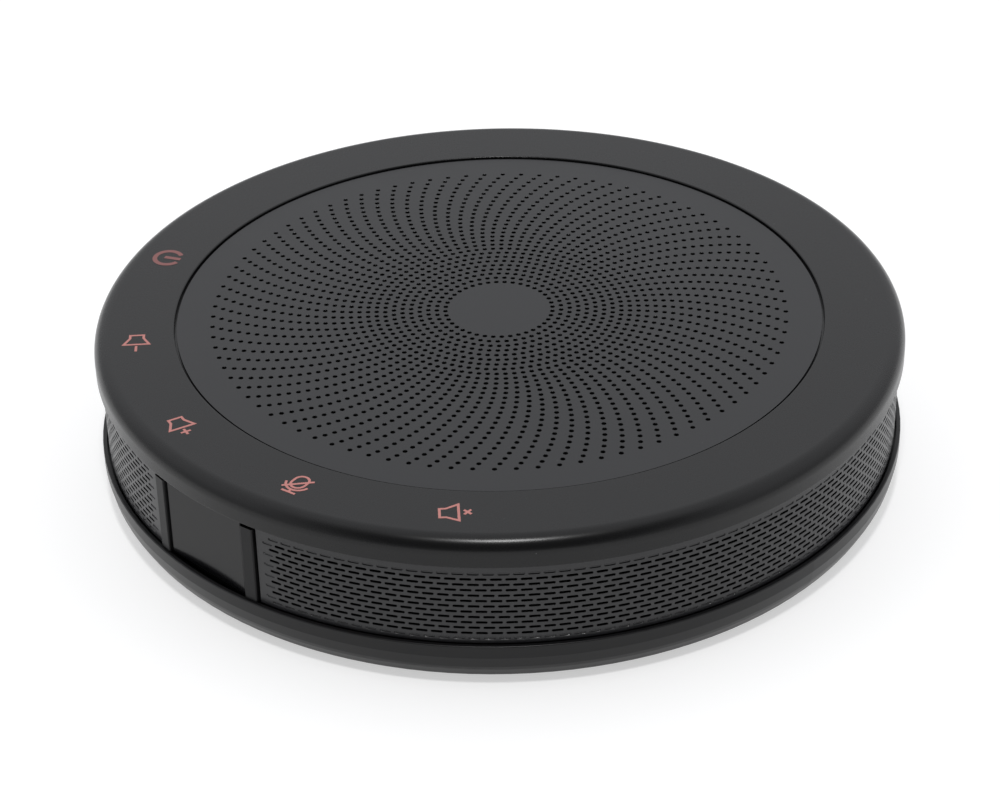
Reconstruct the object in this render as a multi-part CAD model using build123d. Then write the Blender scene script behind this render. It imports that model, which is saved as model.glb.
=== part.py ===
from build123d import *
from math import acos, atan2, cos, degrees, hypot, pi, radians, sin
import os

# A round table-top conference speakerphone. Millimetres, +Z up. The origin is on the table,
# on the axis of the case. The badge faces -Y and the sockets face +Y.

# Driving dimensions of the case
OUTER_R = 100.0
TOP_Z = 40.2
CAP_WALL_LOW_Z = 33.2
CAP_EDGE_FILLET = 3.8
CAP_OPENING_R = 80.2
CAP_OPENING_FILLET = 0.35
CAP_WALL = 2.4
CAP_LEDGE_WALL = 1.8
SKIRT_GAP = 0.3
SKIRT_HEADROOM = 0.4
BASE_R = 100.3
BASE_UNDER_Z = 0.8
BASE_UNDER_R = 96.0
BASE_BELLY_R = 99.6
BASE_BELLY_Z = 5.2
BASE_CREASE_Z = 8.6
BASE_LIP_Z = 11.8
BASE_LIP_INNER_R = 99.3
BASE_GROOVE_Z = 9.0
BASE_FOOT_TURN_R = 98.1
BASE_FOOT_TURN_Z = 2.4
BASE_WALL_INNER_R = 96.8

# Speaker plate in the top opening
PLATE_R = 79.6
PLATE_THICK = 1.0
PLATE_RECESS = 0.5
PLATE_TOP_Z = TOP_Z - PLATE_RECESS
PLATE_UNDER_Z = PLATE_TOP_Z - PLATE_THICK
LEDGE_R = 77.0
LEDGE_THICK = 1.7
HOLE_R = 0.58
HOLE_RING_FIRST_R = 13.28
HOLE_RING_PITCH = 2.13
HOLE_COUNTS_INNER = [40, 45, 52, 58, 64, 71, 77, 83]
HOLE_COUNT_OUTER = 90
HOLE_RING_COUNT = 28
HOLE_START_ANGLE = 64.65
SWIRL_START_R = 32.3
SWIRL_ARC_R = 54.7
CLOTH_R = 76.6
CLOTH_THICK = 0.3

# Side grille: a curved metal band on each side, with acoustic cloth behind it
BAND_R = 98.8
BAND_THICK = 0.8
BAND_LOW_Z = 11.8
BAND_HIGH_Z = 34.0
BAND_CLOTH_R = 97.65
BAND_CLOTH_THICK = 0.35
SLOT_ZONE_LOW_Z = 13.7
SLOT_ZONE_HIGH_Z = 29.9

# Badge window at the front and socket window at the rear, as half angles in degrees
BADGE_HALF_ANGLE = 7.6
SOCKET_HALF_ANGLE = 14.0
POST_WIDTH = 3.6
POST_R = 99.5
POST_INNER_R = 96.1
POST_TOP_GAP = 1.2
BAND_END_GAP_ANGLE = 0.35
PANEL_CHAMFER = 0.25
FRONT = -90.0
REAR = 90.0

# Middle frame
FRAME_INNER_R = 93.4
FRAME_OUTER_R = 96.4
FRAME_RAIL_R = 97.7

# Levels inside
FLOOR_Z = 3.4
BOARD_LOW_Z = 7.4
BOARD_THICK = 1.6
BOARD_TOP_Z = BOARD_LOW_Z + BOARD_THICK
BOARD_R = 78.5
BOX_LOW_Z = 11.4
BOX_WALL = 2.0
BOX_R = 62.0
BOX_FLANGE_R = 69.0
BOX_TOP_Z = 31.2
CHASSIS_LOW_Z = 32.0
CHASSIS_TOP_Z = 34.0
CHASSIS_R = 96.0
CEILING_Z = 38.2
DRIVER_HOLE_R = 41.5

# Fastener positions
CASE_POST_PITCH_R = 84.0
CASE_POST_ANGLES = [0, 60, 120, 180, 240, 300]
CAP_BOSS_PITCH_R = 89.5
CAP_BOSS_ANGLES = [20, 70, 110, 160, 220, 295]
CAP_BOSS_R = 2.8
CAP_SCREW_R = 1.2
CAP_BORE_END = 0.4
FOOT_PITCH_R = 78.0
FOOT_ANGLES = [45, 135, 225, 315]
STANDOFF_PITCH_R = 71.5
STANDOFF_ANGLES = [25, 155, 205, 335]
BOX_SCREW_PITCH_R = 65.8
BOX_SCREW_ANGLES = [30, 90, 150, 210, 270, 330]
DRIVER_SCREW_PITCH_R = 45.0
DRIVER_SCREW_ANGLES = [45, 135, 225, 315]

# Touch symbols: power, volume down, volume up, microphone mute, loudspeaker mute
ICON_PITCH_R = 88.9
ICON_ANGLES = [205.9, 233.0, 259.2, 283.4, 307.8]

MIC_ANGLES = [0, 60, 120, 180, 240, 300]
THREAD_GAP = 0.05
PAST = 1.0


def disc(radius, low, high, inner=0.0):
    """A plate or ring about the Z axis between two heights."""
    solid = Pos(0, 0, (low + high) / 2) * Cylinder(radius, high - low)
    if inner:
        solid -= Pos(0, 0, (low + high) / 2) * Cylinder(inner, high - low + 2)
    return solid


def turned(*points):
    """A solid of revolution from (radius, height) points."""
    outline = Polyline(*[(r, 0, z) for r, z in points], close=True)
    return revolve(make_face(outline), Axis.Z, 360)


def at(angle, radius, low=0.0):
    """A place at an angle and a radius, turned so that +X points outwards."""
    return Rot(0, 0, angle) * Pos(radius, 0, low)


def block(depth, width, low, high):
    """A block with its depth along X and its width along Y, centred on the Z axis."""
    return Pos(0, 0, (low + high) / 2) * Box(depth, width, high - low)


def rod(radius, low, high):
    return Pos(0, 0, (low + high) / 2) * Cylinder(radius, high - low)


def sector(inner, outer, low, high, start, end):
    """A piece of a ring between two angles."""
    ring = disc(outer, low, high, inner)
    reach = outer + 50
    steps = max(2, int((end - start) / 60) + 1)
    angles = [start + (end - start) * i / steps for i in range(steps + 1)]
    edge = [(reach * cos(radians(a)), reach * sin(radians(a))) for a in angles]
    wedge = make_face(Polyline((0, 0), *edge, close=True))
    return ring & Pos(0, 0, low - 1) * extrude(wedge, high - low + 2)


def screw(head_r, head_low, head_high, shank_r, tip, head_up=True):
    """One pan-head screw with a cross recess. Its shank runs from the head to the tip height."""
    head = rod(head_r, head_low, head_high)
    crown = head_high if head_up else head_low
    head = chamfer(head.edges().filter_by_position(Axis.Z, crown - 0.01, crown + 0.01), 0.35)
    seat = head_low if head_up else head_high
    shank = rod(shank_r, min(seat, tip), max(seat, tip))
    depth = 0.9
    recess_low = crown - depth if head_up else crown
    for turn in (0, 90):
        head -= Rot(0, 0, turn) * block(head_r * 1.1, 0.7, recess_low, recess_low + depth)
    return head + shank


def group(solids):
    return Compound(children=list(solids))


def rounded_top_edge(solid, radius_of_edge, height, fillet_radius):
    """Rounds the circular edge of one radius at one height."""
    rims = solid.edges().filter_by(GeomType.CIRCLE).filter_by_position(
        Axis.Z, height - 0.01, height + 0.01
    )
    chosen = [edge for edge in rims if abs(edge.radius - radius_of_edge) < 0.05]
    return fillet(chosen, fillet_radius)


parts = {}


# ---- Top: cap, perforated plate and its cloth --------------------------------------------

def make_top_ring():
    ring = turned(
        (OUTER_R, CAP_WALL_LOW_Z),
        (OUTER_R, TOP_Z),
        (CAP_OPENING_R, TOP_Z),
        (CAP_OPENING_R, PLATE_UNDER_Z),
        (LEDGE_R, PLATE_UNDER_Z),
        (LEDGE_R, PLATE_UNDER_Z - LEDGE_THICK),
        (CAP_OPENING_R + CAP_LEDGE_WALL, PLATE_UNDER_Z - LEDGE_THICK),
        (CAP_OPENING_R + CAP_LEDGE_WALL, CEILING_Z),
        (OUTER_R - CAP_WALL, CEILING_Z),
        (OUTER_R - CAP_WALL, BAND_HIGH_Z + SKIRT_HEADROOM),
        (BAND_R + SKIRT_GAP, BAND_HIGH_Z + SKIRT_HEADROOM),
        (BAND_R + SKIRT_GAP, CAP_WALL_LOW_Z),
    )
    ring = rounded_top_edge(ring, OUTER_R, TOP_Z, CAP_EDGE_FILLET)
    ring = rounded_top_edge(ring, CAP_OPENING_R, TOP_Z, CAP_OPENING_FILLET)
    for angle in CAP_BOSS_ANGLES:
        ring += at(angle, CAP_BOSS_PITCH_R) * rod(CAP_BOSS_R, CHASSIS_TOP_Z, CEILING_Z)
    bore = rod(CAP_SCREW_R + THREAD_GAP, CHASSIS_TOP_Z - PAST, CEILING_Z - CAP_BORE_END)
    for angle in CAP_BOSS_ANGLES:
        ring -= at(angle, CAP_BOSS_PITCH_R) * bore
    return ring


def swirl_angle(radius):
    """How far the arm of holes has turned at a radius. It leaves along the radius, then follows an arc."""
    far = max(radius, SWIRL_START_R)
    centre_r = hypot(SWIRL_START_R, SWIRL_ARC_R)
    cosine = (far**2 + centre_r**2 - SWIRL_ARC_R**2) / (2 * far * centre_r)
    return degrees(acos(cosine) - atan2(SWIRL_ARC_R, SWIRL_START_R))


def plate_holes():
    """The places of the holes: rings that get denser outwards, then arms of equal count that swirl."""
    places = []
    for ring in range(HOLE_RING_COUNT):
        radius = HOLE_RING_FIRST_R + ring * HOLE_RING_PITCH
        inner = ring < len(HOLE_COUNTS_INNER)
        count = HOLE_COUNTS_INNER[ring] if inner else HOLE_COUNT_OUTER
        start = HOLE_START_ANGLE + swirl_angle(radius)
        places += [(radius, start + 360 * i / count) for i in range(count)]
    return places


def make_speaker_plate():
    circles = []
    for radius, angle in plate_holes():
        x = radius * cos(radians(angle))
        y = radius * sin(radians(angle))
        circles.append(Wire.make_circle(HOLE_R, Plane(origin=(x, y, 0))))
    sheet = Face(Wire.make_circle(PLATE_R), circles)
    return Pos(0, 0, PLATE_UNDER_Z) * extrude(sheet, PLATE_THICK, (0, 0, 1))


parts["top_ring"] = make_top_ring()
parts["speaker_plate"] = make_speaker_plate()
parts["speaker_cloth"] = disc(CLOTH_R, PLATE_UNDER_Z - CLOTH_THICK, PLATE_UNDER_Z)


# ---- Touch board, its lamps and diffusers --------------------------------------------------

TOUCH_BOARD_LOW_Z = 35.8
TOUCH_BOARD_HIGH_Z = 37.0
TOUCH_BOARD_OUTER_R = 95.5
TOUCH_BOARD_INNER_R = 82.8
BOSS_HOLE_R = 3.2
LAMP_HOLE_R = 2.2
LAMP_DEPTH = 6.0
LAMP_WIDTH = 2.4
LAMP_TALL = 0.8
ICON_SIZE = 9.6
RIBBON_ANGLE = 190.0
RIBBON_R = 87.4
RIBBON_THICK = 0.3
RIBBON_WIDTH = 10.0


def make_touch_board():
    board = disc(TOUCH_BOARD_OUTER_R, TOUCH_BOARD_LOW_Z, TOUCH_BOARD_HIGH_Z, TOUCH_BOARD_INNER_R)
    low = TOUCH_BOARD_LOW_Z - PAST
    high = TOUCH_BOARD_HIGH_Z + PAST
    for angle in CAP_BOSS_ANGLES:
        board -= at(angle, CAP_BOSS_PITCH_R) * rod(BOSS_HOLE_R, low, high)
    for angle in ICON_ANGLES:
        board -= at(angle, ICON_PITCH_R) * rod(LAMP_HOLE_R, low, high)
    return board


parts["touch_board"] = make_touch_board()
diffuser = block(ICON_SIZE, ICON_SIZE, TOUCH_BOARD_HIGH_Z, CEILING_Z)
diffuser = fillet(diffuser.edges().filter_by(Axis.Z), 1.2)
parts["icon_diffusers"] = group(at(angle, ICON_PITCH_R) * diffuser for angle in ICON_ANGLES)
parts["icon_lamps"] = group(
    at(angle, ICON_PITCH_R) * block(LAMP_DEPTH, LAMP_WIDTH, TOUCH_BOARD_LOW_Z - LAMP_TALL, TOUCH_BOARD_LOW_Z)
    for angle in ICON_ANGLES
)


# ---- Side bands, their cloth, badge and socket panel --------------------------------------

def post_half_angle():
    """Half the angle that one post covers, at the band's radius."""
    return POST_WIDTH / 2 / BAND_R * 180 / pi


FRONT_POST_ANGLE = BADGE_HALF_ANGLE + post_half_angle()
REAR_POST_ANGLE = SOCKET_HALF_ANGLE + post_half_angle()
BAND_START = FRONT + FRONT_POST_ANGLE + post_half_angle() + BAND_END_GAP_ANGLE
BAND_END = REAR - REAR_POST_ANGLE - post_half_angle() - BAND_END_GAP_ANGLE

right_band = sector(BAND_R - BAND_THICK, BAND_R, BAND_LOW_Z, BAND_HIGH_Z, BAND_START, BAND_END)
parts["side_grille_right"] = right_band
parts["side_grille_left"] = mirror(right_band, Plane.YZ)
right_cloth = sector(
    BAND_CLOTH_R - BAND_CLOTH_THICK,
    BAND_CLOTH_R,
    SLOT_ZONE_LOW_Z,
    SLOT_ZONE_HIGH_Z,
    BAND_START,
    BAND_END,
)
parts["side_cloth_right"] = right_cloth
parts["side_cloth_left"] = mirror(right_cloth, Plane.YZ)

BADGE_HALF_WIDTH = BAND_R * sin(radians(BADGE_HALF_ANGLE)) - 0.35
BADGE_FACE_Y = -BAND_R * cos(radians(BADGE_HALF_ANGLE))
BADGE_THICK = 1.2
SOCKET_HALF_WIDTH = BAND_R * sin(radians(SOCKET_HALF_ANGLE)) - 0.7
SOCKET_FACE_Y = BAND_R * cos(radians(SOCKET_HALF_ANGLE))
SOCKET_PANEL_THICK = 1.6
SOCKET_BACK_Y = SOCKET_FACE_Y - SOCKET_PANEL_THICK
WINDOW_LOW_Z = 11.8
WINDOW_HIGH_Z = 33.0

# The two sockets stand on their own board
SOCKET_BOARD_LOW_Z = 15.4
SOCKET_BOARD_HIGH_Z = 17.0
USB_X = -9.0
USB_Z = SOCKET_BOARD_HIGH_Z + 1.6
JACK_X = 9.0
JACK_Z = SOCKET_BOARD_HIGH_Z + 2.5
USB_MOUTH = (10.4, 4.4)
JACK_MOUTH_R = 3.4


def make_badge_panel():
    panel = Pos(0, BADGE_FACE_Y + BADGE_THICK / 2, 0) * block(
        2 * BADGE_HALF_WIDTH, BADGE_THICK, WINDOW_LOW_Z, WINDOW_HIGH_Z
    )
    front_edges = panel.edges().filter_by_position(Axis.Y, BADGE_FACE_Y - 0.01, BADGE_FACE_Y + 0.01)
    return chamfer(front_edges, PANEL_CHAMFER)


def slot_along_y(width, height):
    """A long slot-shaped cutter that lies along Y, centred on the origin."""
    return extrude(Plane.XZ * SlotOverall(width, height), 8, both=True)


def rod_along_y(radius, low_y, high_y):
    return Pos(0, (low_y + high_y) / 2, 0) * (Rot(90, 0, 0) * Cylinder(radius, high_y - low_y))


def make_socket_panel():
    panel = Pos(0, SOCKET_FACE_Y - SOCKET_PANEL_THICK / 2, 0) * block(
        2 * SOCKET_HALF_WIDTH, SOCKET_PANEL_THICK, WINDOW_LOW_Z, WINDOW_HIGH_Z
    )
    rear_edges = panel.edges().filter_by_position(Axis.Y, SOCKET_FACE_Y - 0.01, SOCKET_FACE_Y + 0.01)
    panel = chamfer(rear_edges, PANEL_CHAMFER)
    panel -= Pos(USB_X, SOCKET_FACE_Y, USB_Z) * slot_along_y(*USB_MOUTH)
    panel -= Pos(JACK_X, SOCKET_FACE_Y, JACK_Z) * rod_along_y(JACK_MOUTH_R, -8, 8)
    return panel


parts["badge_panel"] = make_badge_panel()
parts["socket_panel"] = make_socket_panel()


# ---- Middle frame ----------------------------------------------------------------------------

MIC_Z = 21.8
FRAME_WINDOW_LOW_Z = 14.4
FRAME_WINDOW_HIGH_Z = 29.2
POCKET_LOW_Z = 11.4
POCKET_HIGH_Z = 34.5
POCKET_DEPTH = 10.0
SOCKET_BAY_Y = 92.0
SOCKET_BAY_SIZE = (44.0, 14.0)
SOCKET_BAY_LOW_Z = 10.0
SOCKET_BAY_HIGH_Z = 33.0
MIC_HOLE_R = 0.8
MIC_HOLE_LENGTH = 8.0
FRAME_WINDOWS = [
    (3.6, 26.4), (33.6, 56.4), (63.6, 71.0), (109.0, 116.4), (123.6, 146.4), (153.6, 176.4),
    (183.6, 206.4), (213.6, 236.4), (243.6, 256.0), (284.0, 296.4), (303.6, 326.4), (333.6, 356.4),
]


def make_middle_frame():
    frame = turned(
        (FRAME_INNER_R, FLOOR_Z),
        (FRAME_OUTER_R, FLOOR_Z),
        (FRAME_OUTER_R, BAND_LOW_Z),
        (FRAME_RAIL_R, BAND_LOW_Z),
        (FRAME_RAIL_R, SLOT_ZONE_LOW_Z - 0.1),
        (FRAME_OUTER_R, SLOT_ZONE_LOW_Z - 0.1),
        (FRAME_OUTER_R, SLOT_ZONE_HIGH_Z + 0.1),
        (FRAME_RAIL_R, SLOT_ZONE_HIGH_Z + 0.1),
        (FRAME_RAIL_R, BAND_HIGH_Z),
        (FRAME_OUTER_R, BAND_HIGH_Z),
        (FRAME_OUTER_R, CHASSIS_LOW_Z),
        (FRAME_INNER_R, CHASSIS_LOW_Z),
    )
    for start, end in FRAME_WINDOWS:
        frame -= sector(
            FRAME_INNER_R - PAST,
            FRAME_OUTER_R + PAST / 2,
            FRAME_WINDOW_LOW_Z,
            FRAME_WINDOW_HIGH_Z,
            start,
            end,
        )
    post_depth = POST_R - POST_INNER_R
    post = block(post_depth, POST_WIDTH, BASE_LIP_Z + 0.15, CAP_WALL_LOW_Z - POST_TOP_GAP)
    post = Pos(POST_INNER_R + post_depth / 2, 0, 0) * post
    outer_corners = post.edges().filter_by(Axis.Z).sort_by(Axis.X)[-2:]
    post = fillet(outer_corners, 0.4)
    for angle in (
        FRONT - FRONT_POST_ANGLE,
        FRONT + FRONT_POST_ANGLE,
        REAR - REAR_POST_ANGLE,
        REAR + REAR_POST_ANGLE,
    ):
        frame += Rot(0, 0, angle) * post
    badge_pocket_width = 2 * (BADGE_HALF_WIDTH + 0.2)
    badge_pocket = block(badge_pocket_width, POCKET_DEPTH, POCKET_LOW_Z, POCKET_HIGH_Z)
    frame -= Pos(0, -FRAME_OUTER_R - 0.1 - POCKET_DEPTH / 2, 0) * badge_pocket
    socket_pocket_width = 2 * (SOCKET_HALF_WIDTH + 0.1)
    socket_pocket = block(socket_pocket_width, POCKET_DEPTH, POCKET_LOW_Z, POCKET_HIGH_Z)
    frame -= Pos(0, SOCKET_BACK_Y - 0.2 + POCKET_DEPTH / 2, 0) * socket_pocket
    frame -= Pos(0, SOCKET_BAY_Y, 0) * block(*SOCKET_BAY_SIZE, SOCKET_BAY_LOW_Z, SOCKET_BAY_HIGH_Z)
    sound_hole = Rot(0, 90, 0) * Cylinder(MIC_HOLE_R, MIC_HOLE_LENGTH)
    for angle in MIC_ANGLES:
        frame -= at(angle, FRAME_INNER_R + 1.5, MIC_Z) * sound_hole
    return frame


parts["middle_frame"] = make_middle_frame()


# ---- Microphones -----------------------------------------------------------------------------

MIC_BOARD_R = 91.2
MIC_BOARD_THICK = 1.0
MIC_BOOT_THICK = 1.0


def across_radius(thick, width, tall, start_r, hole_r):
    """An upright tile that faces outwards at the microphone height, with a sound hole."""
    tile = Pos(start_r + thick / 2, 0, MIC_Z) * Box(thick, width, tall)
    return tile - Pos(start_r + thick / 2, 0, MIC_Z) * (Rot(0, 90, 0) * Cylinder(hole_r, thick + 2))


mic_board = across_radius(MIC_BOARD_THICK, 10.0, 10.0, MIC_BOARD_R, 0.5)
mic_boot = across_radius(MIC_BOOT_THICK, 8.0, 8.0, MIC_BOARD_R + MIC_BOARD_THICK, 0.8)
mic_capsule = Pos(MIC_BOARD_R - 0.5, 0, MIC_Z) * Box(1.0, 3.0, 4.0)
parts["mic_boards"] = group(Rot(0, 0, angle) * mic_board for angle in MIC_ANGLES)
parts["mic_boots"] = group(Rot(0, 0, angle) * mic_boot for angle in MIC_ANGLES)
parts["mic_capsules"] = group(Rot(0, 0, angle) * mic_capsule for angle in MIC_ANGLES)


# ---- Base cover, feet and chassis -------------------------------------------------------------

POST_SPLIT_Z = 13.0
CASE_SCREW_SEAT_Z = 9.0
FOOT_R = 8.0
FOOT_HIGH_Z = 2.0
FOOT_RECESS_GAP = 0.3
SOCKET_STANDOFFS = [(-17.5, 84.0), (17.5, 84.0)]
STANDOFF_R = 3.0
BOARD_SCREW_R = 1.0
BOARD_BORE_LOW_Z = 3.8
SOCKET_BORE_LOW_Z = 9.0
CASE_POST_R = 4.0
CASE_HEAD_BORE_R = 3.1
CASE_SCREW_R = 1.5
CASE_SCREW_HOLE_R = 1.7
CHASSIS_POST_R = 3.6
CASE_BORE_HIGH_Z = 26.0
SCREW_HOLE_R = 1.3
CAP_SCREW_HOLE_R = 1.5
ROOT = 0.5


def make_base_cover():
    cover = turned(
        (0, BASE_UNDER_Z),
        (BASE_UNDER_R, BASE_UNDER_Z),
        (BASE_FOOT_TURN_R, BASE_FOOT_TURN_Z),
        (BASE_BELLY_R, BASE_BELLY_Z),
        (BASE_R, BASE_CREASE_Z),
        (BASE_R, BASE_LIP_Z),
        (BASE_LIP_INNER_R, BASE_LIP_Z),
        (BASE_LIP_INNER_R, BASE_GROOVE_Z),
        (BASE_WALL_INNER_R, BASE_GROOVE_Z),
        (BASE_WALL_INNER_R, FLOOR_Z),
        (0, FLOOR_Z),
    )
    cover = rounded_top_edge(cover, BASE_R, BASE_LIP_Z, 0.3)
    cover = rounded_top_edge(cover, BASE_R, BASE_CREASE_Z, 0.4)
    cover = rounded_top_edge(cover, BASE_BELLY_R, BASE_BELLY_Z, 4.0)
    cover = rounded_top_edge(cover, BASE_FOOT_TURN_R, BASE_FOOT_TURN_Z, 1.6)
    cover = rounded_top_edge(cover, BASE_UNDER_R, BASE_UNDER_Z, 0.8)
    for angle in CASE_POST_ANGLES:
        cover += at(angle, CASE_POST_PITCH_R) * rod(CASE_POST_R, FLOOR_Z - ROOT, POST_SPLIT_Z)
    for angle in STANDOFF_ANGLES:
        cover += at(angle, STANDOFF_PITCH_R) * rod(STANDOFF_R, FLOOR_Z - ROOT, BOARD_LOW_Z)
    for x, y in SOCKET_STANDOFFS:
        cover += Pos(x, y, 0) * rod(STANDOFF_R, FLOOR_Z - ROOT, SOCKET_BOARD_LOW_Z)
    for angle in CASE_POST_ANGLES:
        cover -= at(angle, CASE_POST_PITCH_R) * rod(CASE_HEAD_BORE_R, 0, CASE_SCREW_SEAT_Z)
        cover -= at(angle, CASE_POST_PITCH_R) * rod(CASE_SCREW_HOLE_R, 0, POST_SPLIT_Z + PAST)
    board_bore_r = BOARD_SCREW_R + THREAD_GAP
    for angle in STANDOFF_ANGLES:
        cover -= at(angle, STANDOFF_PITCH_R) * rod(board_bore_r, BOARD_BORE_LOW_Z, BOARD_LOW_Z + PAST)
    for x, y in SOCKET_STANDOFFS:
        cover -= Pos(x, y, 0) * rod(board_bore_r, SOCKET_BORE_LOW_Z, SOCKET_BOARD_LOW_Z + PAST)
    for angle in FOOT_ANGLES:
        cover -= at(angle, FOOT_PITCH_R) * rod(FOOT_R + FOOT_RECESS_GAP, 0, FOOT_HIGH_Z)
    return cover


parts["base_cover"] = make_base_cover()
for number, angle in enumerate(FOOT_ANGLES, start=1):
    foot = at(angle, FOOT_PITCH_R) * rod(FOOT_R, 0, FOOT_HIGH_Z)
    parts[f"rubber_foot_{number}"] = chamfer(foot.edges().sort_by(Axis.Z)[0], 0.3)


def make_chassis():
    chassis = disc(CHASSIS_R, CHASSIS_LOW_Z, CHASSIS_TOP_Z, DRIVER_HOLE_R)
    for angle in CASE_POST_ANGLES:
        chassis += at(angle, CASE_POST_PITCH_R) * rod(CHASSIS_POST_R, POST_SPLIT_Z, CHASSIS_LOW_Z + ROOT)
    post_bore = rod(CASE_SCREW_R + THREAD_GAP, POST_SPLIT_Z - PAST, CASE_BORE_HIGH_Z)
    for angle in CASE_POST_ANGLES:
        chassis -= at(angle, CASE_POST_PITCH_R) * post_bore
    low = CHASSIS_LOW_Z - PAST
    high = CHASSIS_TOP_Z + PAST
    for angle in CAP_BOSS_ANGLES:
        chassis -= at(angle, CAP_BOSS_PITCH_R) * rod(CAP_SCREW_HOLE_R, low, high)
    for angle in BOX_SCREW_ANGLES:
        chassis -= at(angle, BOX_SCREW_PITCH_R) * rod(SCREW_HOLE_R, low, high)
    for angle in DRIVER_SCREW_ANGLES:
        chassis -= at(angle, DRIVER_SCREW_PITCH_R) * rod(SCREW_HOLE_R, low, high)
    chassis -= at(RIBBON_ANGLE, RIBBON_R) * block(2.4, RIBBON_WIDTH + 2, low, high)
    notch = block(2 * SOCKET_HALF_WIDTH + 1, POCKET_DEPTH, low, high)
    chassis -= Pos(0, SOCKET_BACK_Y - 0.4 + POCKET_DEPTH / 2, 0) * notch
    return chassis


parts["chassis"] = make_chassis()


# ---- Loudspeaker box ---------------------------------------------------------------------------

LEAD_ANGLE = 15.0
LEAD_Z = 20.0
LEAD_R = 0.8
GROMMET_R = 2.0


def make_speaker_box():
    box = turned(
        (0, BOX_LOW_Z),
        (BOX_R, BOX_LOW_Z),
        (BOX_R, BOX_TOP_Z - 2.0),
        (BOX_FLANGE_R, BOX_TOP_Z - 2.0),
        (BOX_FLANGE_R, BOX_TOP_Z),
        (BOX_R - BOX_WALL, BOX_TOP_Z),
        (BOX_R - BOX_WALL, BOX_LOW_Z + BOX_WALL),
        (0, BOX_LOW_Z + BOX_WALL),
    )
    for angle in BOX_SCREW_ANGLES:
        box -= at(angle, BOX_SCREW_PITCH_R) * rod(CAP_SCREW_HOLE_R, BOX_TOP_Z - 4, BOX_TOP_Z + PAST)
    box -= at(LEAD_ANGLE, BOX_R - BOX_WALL / 2, LEAD_Z) * (Rot(0, 90, 0) * Cylinder(GROMMET_R, 8))
    return box


parts["speaker_box"] = make_speaker_box()
parts["box_gasket"] = disc(64.0, BOX_TOP_Z, CHASSIS_LOW_Z, BOX_R - BOX_WALL)


# ---- Loudspeaker -------------------------------------------------------------------------------

GASKET_THICK = 0.6
FLANGE_LOW_Z = CHASSIS_TOP_Z + GASKET_THICK
FLANGE_HIGH_Z = FLANGE_LOW_Z + 1.2
FLANGE_R = 48.0
BASKET_SHELF_Z = 25.5
YOKE_LOW_Z = 14.0
GAP_TOP_Z = 23.0
FORMER_R = 12.5
DUST_CAP_TOP_Z = 32.5
DUST_CAP_DOME_R = 28.9


def make_basket():
    basket = turned(
        (17.3, 21.0),
        (25.5, 21.0),
        (27.0, 22.0),
        (27.6, 24.4),
        (40.9, 33.2),
        (40.9, FLANGE_LOW_Z),
        (FLANGE_R, FLANGE_LOW_Z),
        (FLANGE_R, FLANGE_HIGH_Z),
        (40.2, FLANGE_HIGH_Z),
        (39.6, 34.2),
        (26.6, BASKET_SHELF_Z),
        (23.5, BASKET_SHELF_Z),
        (23.5, 24.2),
        (25.0, 23.6),
        (24.6, 22.5),
        (17.3, 22.5),
    )
    for index in range(6):
        basket -= sector(28.2, 37.5, 20, 36, 60 * index + 12, 60 * index + 48)
    for angle in DRIVER_SCREW_ANGLES:
        basket -= at(angle, DRIVER_SCREW_PITCH_R) * rod(1.6, FLANGE_LOW_Z - 1, FLANGE_HIGH_Z + 1)
    return basket


def make_driver_gasket():
    gasket = disc(FLANGE_R - 0.4, CHASSIS_TOP_Z, FLANGE_LOW_Z, DRIVER_HOLE_R + 0.3)
    for angle in DRIVER_SCREW_ANGLES:
        gasket -= at(angle, DRIVER_SCREW_PITCH_R) * rod(1.6, CHASSIS_TOP_Z - 1, FLANGE_LOW_Z + 1)
    return gasket


def make_surround():
    """A half-roll ring from the cone's rim to the basket's flange, 0.5 thick."""
    inner_low = (32.8, 0, 35.05)
    outline = [
        Line(inner_low, (34.3, 0, 35.05)),
        ThreePointArc((34.3, 0, 35.05), (37.2, 0, 36.6), (40.1, 0, 35.85)),
        Line((40.1, 0, 35.85), (42.4, 0, 35.85)),
        Line((42.4, 0, 35.85), (42.4, 0, 36.35)),
        Line((42.4, 0, 36.35), (40.3, 0, 36.35)),
        ThreePointArc((40.3, 0, 36.35), (37.2, 0, 37.1), (34.0, 0, 35.55)),
        Line((34.0, 0, 35.55), (32.8, 0, 35.55)),
        Line((32.8, 0, 35.55), inner_low),
    ]
    return revolve(make_face(outline), Axis.Z, 360)


def make_spider():
    """A corrugated centring disc from the former to the basket's inner shelf."""
    points = [(12.75, 0)]
    points += [(14.0 + 1.2 * i, 0.5 if i % 2 else -0.5) for i in range(8)]
    points += [(23.4, 0), (26.2, 0)]
    mid_z = BASKET_SHELF_Z + 0.65
    under = [(r, mid_z + wave) for r, wave in points]
    upper = [(r, z + 0.4) for r, z in reversed(under)]
    flat_rim = [(23.4, BASKET_SHELF_Z + 0.05), (26.2, BASKET_SHELF_Z + 0.05)]
    return turned(*under[:-2], *flat_rim, *upper)


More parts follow.
